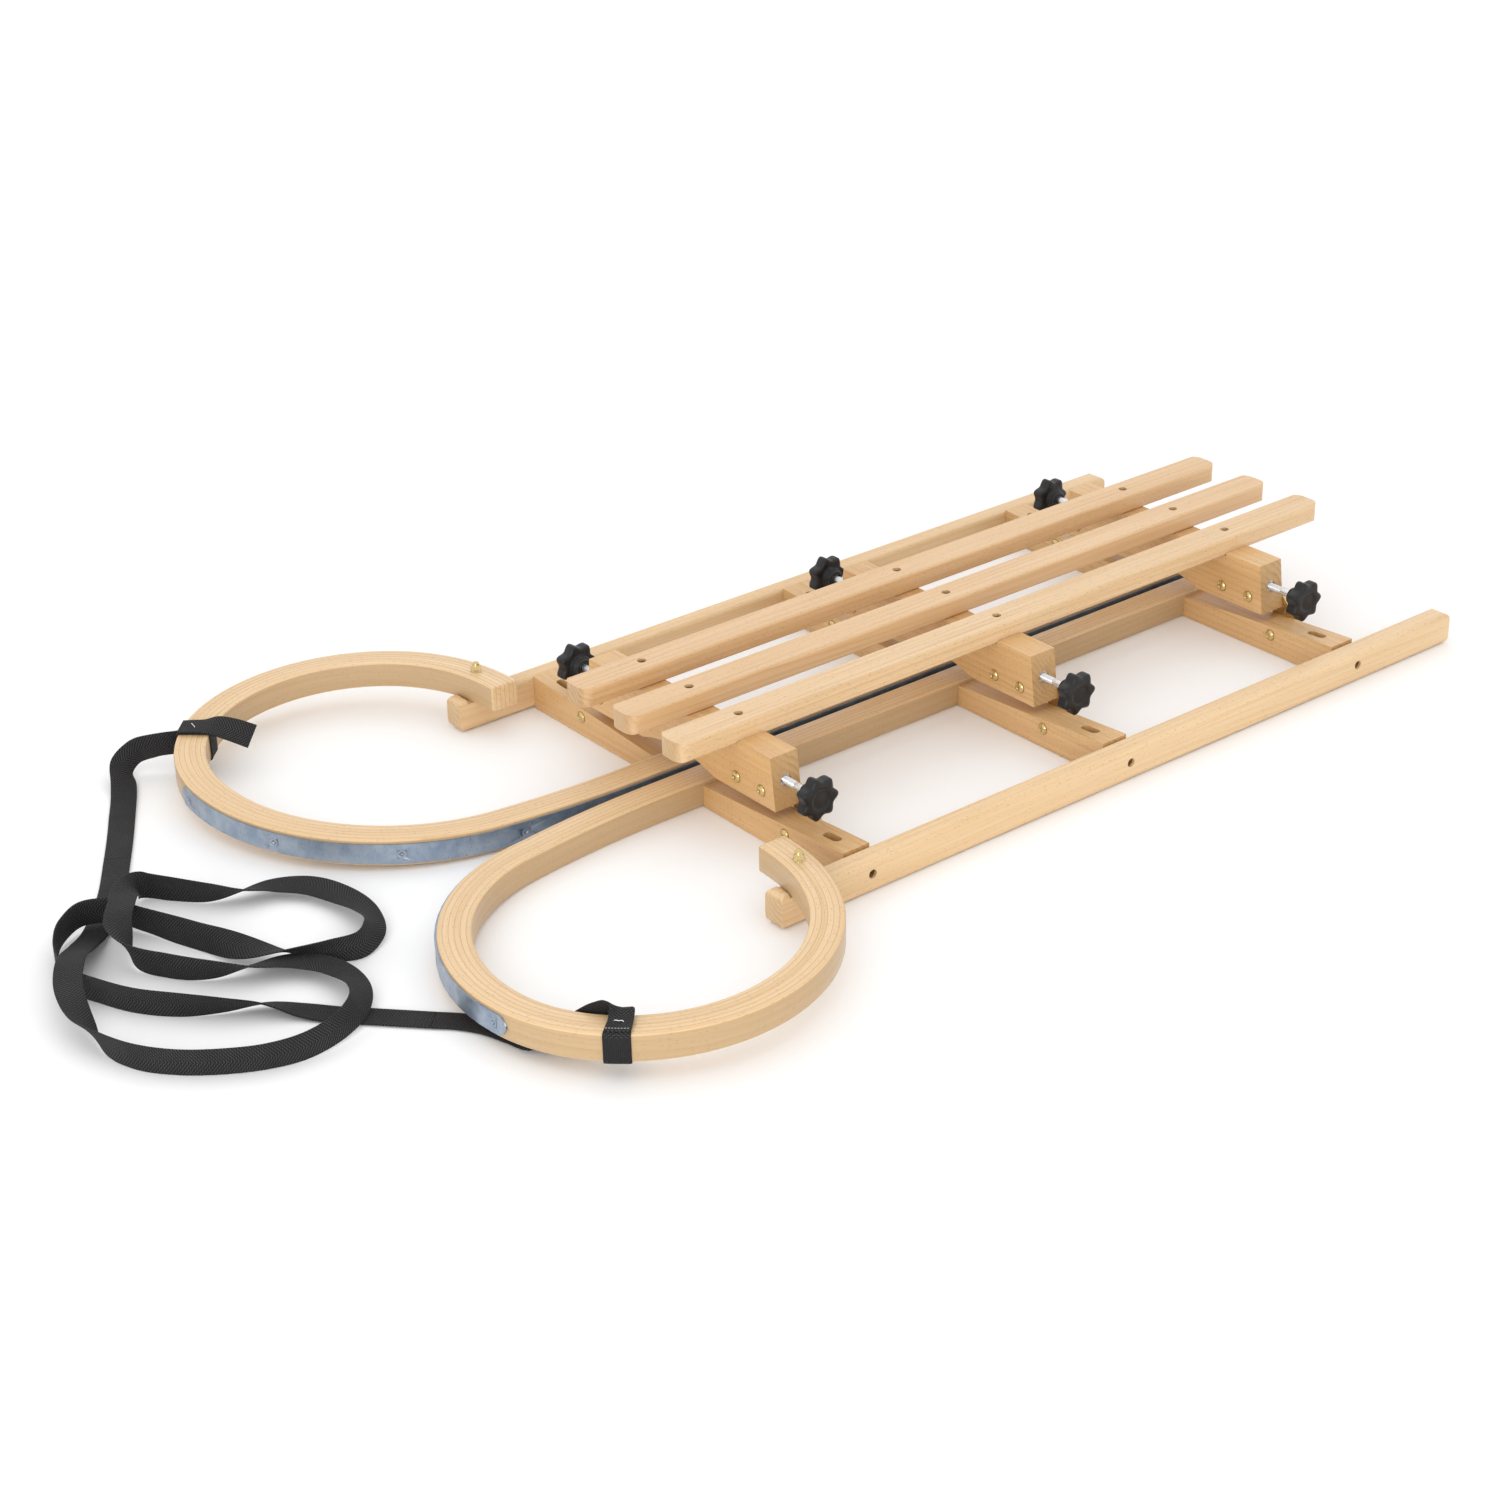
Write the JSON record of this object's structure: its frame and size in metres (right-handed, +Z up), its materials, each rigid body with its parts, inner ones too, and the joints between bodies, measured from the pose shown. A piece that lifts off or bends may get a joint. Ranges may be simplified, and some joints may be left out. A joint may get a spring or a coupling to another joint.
{
  "type": "folding wooden toboggan",
  "caption": "Folding wooden horn toboggan, folded flat: slatted seat on crossbeams over two hinged runner frames with bent horns, star knobs and a webbing pull strap.",
  "frame": {"origin": "on the ground, at the middle of the box round the sledge without its strap", "axes": "+X to the sledge's right as its rider sits, -Y ahead towards the horns, +Z up"},
  "size_m": [0.8212, 1.4681, 0.109],
  "materials": {
    "seat_wood": "satin varnished beech",
    "beam_wood": "satin varnished beech",
    "frame_wood": "satin varnished beech, laminated on the runners",
    "galvanised": "dull galvanised",
    "yellow_zinc": "yellow passivated zinc on steel",
    "bright_zinc": "bright zinc",
    "knob_plastic": "black satin",
    "webbing": "black woven webbing"
  },
  "bodies": {
    "seat_frame": {"seat_slat_left": "seat_wood", "seat_slat_middle": "seat_wood", "seat_slat_right": "seat_wood", "crossbeam_front": "beam_wood", "crossbeam_middle": "beam_wood", "crossbeam_rear": "beam_wood", "seat_screws": "bright_zinc", "beam_bolts": "yellow_zinc", "beam_nuts": "yellow_zinc", "knob_inserts": "bright_zinc", "hinge_plate_front_left": "yellow_zinc", "hinge_plate_front_right": "yellow_zinc", "hinge_plate_middle_left": "yellow_zinc", "hinge_plate_middle_right": "yellow_zinc", "hinge_plate_rear_left": "yellow_zinc", "hinge_plate_rear_right": "yellow_zinc", "pull_strap": "webbing"},
    "side_frame_left": {"runner_left": "frame_wood", "steel_strip_left": "galvanised", "strip_screws_left": "galvanised", "post_screws_left": "bright_zinc", "side_rail_left": "frame_wood", "rail_screws_left": "bright_zinc", "pivot_bolts_left": "yellow_zinc", "pivot_nuts_left": "yellow_zinc", "horn_bolt_left": "yellow_zinc", "strap_wrap_left": "webbing", "strap_staple_left": "bright_zinc", "post_front_left": "beam_wood", "post_middle_left": "beam_wood", "post_rear_left": "beam_wood"},
    "side_frame_right": {"runner_right": "frame_wood", "steel_strip_right": "galvanised", "strip_screws_right": "galvanised", "post_screws_right": "bright_zinc", "side_rail_right": "frame_wood", "rail_screws_right": "bright_zinc", "pivot_bolts_right": "yellow_zinc", "pivot_nuts_right": "yellow_zinc", "horn_bolt_right": "yellow_zinc", "strap_wrap_right": "webbing", "strap_staple_right": "bright_zinc", "post_front_right": "beam_wood", "post_middle_right": "beam_wood", "post_rear_right": "beam_wood"},
    "stud_front_left": {"knob_stud_front_left": "bright_zinc"},
    "knob_front_left": {"star_knob_front_left": "knob_plastic"},
    "stud_front_right": {"knob_stud_front_right": "bright_zinc"},
    "knob_front_right": {"star_knob_front_right": "knob_plastic"},
    "stud_middle_left": {"knob_stud_middle_left": "bright_zinc"},
    "knob_middle_left": {"star_knob_middle_left": "knob_plastic"},
    "stud_middle_right": {"knob_stud_middle_right": "bright_zinc"},
    "knob_middle_right": {"star_knob_middle_right": "knob_plastic"},
    "stud_rear_left": {"knob_stud_rear_left": "bright_zinc"},
    "knob_rear_left": {"star_knob_rear_left": "knob_plastic"},
    "stud_rear_right": {"knob_stud_rear_right": "bright_zinc"},
    "knob_rear_right": {"star_knob_rear_right": "knob_plastic"}
  },
  "joints": [
    {"name": "side_frame_left_fold", "type": "hinge", "parent": "seat_frame", "child": "side_frame_left", "pos_m": [-0.1602, 0.13101, 0.0205], "axis": [0, 1, 0], "range_deg": [0, 8]},
    {"name": "side_frame_right_fold", "type": "hinge", "parent": "seat_frame", "child": "side_frame_right", "pos_m": [0.1602, 0.13101, 0.0205], "axis": [0, -1, 0], "range_deg": [0, 8]},
    {"name": "knob_front_left_travel", "type": "slide", "parent": "seat_frame", "child": "stud_front_left", "axis": [-1, 0, 0], "range_m": [0, 0.02]},
    {"name": "knob_front_left_turn", "type": "hinge", "parent": "stud_front_left", "child": "knob_front_left", "pos_m": [-0.17219, -0.19699, 0.066], "axis": [-1, 0, 0], "range_deg": [0, 5760]},
    {"name": "knob_front_right_travel", "type": "slide", "parent": "seat_frame", "child": "stud_front_right", "axis": [1, 0, 0], "range_m": [0, 0.02]},
    {"name": "knob_front_right_turn", "type": "hinge", "parent": "stud_front_right", "child": "knob_front_right", "pos_m": [0.17219, -0.19699, 0.066], "axis": [1, 0, 0], "range_deg": [0, 5760]},
    {"name": "knob_middle_left_travel", "type": "slide", "parent": "seat_frame", "child": "stud_middle_left", "axis": [-1, 0, 0], "range_m": [0, 0.02]},
    {"name": "knob_middle_left_turn", "type": "hinge", "parent": "stud_middle_left", "child": "knob_middle_left", "pos_m": [-0.17219, 0.13101, 0.066], "axis": [-1, 0, 0], "range_deg": [0, 5760]},
    {"name": "knob_middle_right_travel", "type": "slide", "parent": "seat_frame", "child": "stud_middle_right", "axis": [1, 0, 0], "range_m": [0, 0.02]},
    {"name": "knob_middle_right_turn", "type": "hinge", "parent": "stud_middle_right", "child": "knob_middle_right", "pos_m": [0.17219, 0.13101, 0.066], "axis": [1, 0, 0], "range_deg": [0, 5760]},
    {"name": "knob_rear_left_travel", "type": "slide", "parent": "seat_frame", "child": "stud_rear_left", "axis": [-1, 0, 0], "range_m": [0, 0.02]},
    {"name": "knob_rear_left_turn", "type": "hinge", "parent": "stud_rear_left", "child": "knob_rear_left", "pos_m": [-0.17219, 0.45901, 0.066], "axis": [-1, 0, 0], "range_deg": [0, 5760]},
    {"name": "knob_rear_right_travel", "type": "slide", "parent": "seat_frame", "child": "stud_rear_right", "axis": [1, 0, 0], "range_m": [0, 0.02]},
    {"name": "knob_rear_right_turn", "type": "hinge", "parent": "stud_rear_right", "child": "knob_rear_right", "pos_m": [0.17219, 0.45901, 0.066], "axis": [1, 0, 0], "range_deg": [0, 5760]}
  ],
  "couplings": [
    {"joint": "knob_front_left_travel", "follows": "knob_front_left_turn", "m_per_rad": 0.00019894},
    {"joint": "knob_front_right_travel", "follows": "knob_front_right_turn", "m_per_rad": 0.00019894},
    {"joint": "knob_middle_left_travel", "follows": "knob_middle_left_turn", "m_per_rad": 0.00019894},
    {"joint": "knob_middle_right_travel", "follows": "knob_middle_right_turn", "m_per_rad": 0.00019894},
    {"joint": "knob_rear_left_travel", "follows": "knob_rear_left_turn", "m_per_rad": 0.00019894},
    {"joint": "knob_rear_right_travel", "follows": "knob_rear_right_turn", "m_per_rad": 0.00019894}
  ]
}
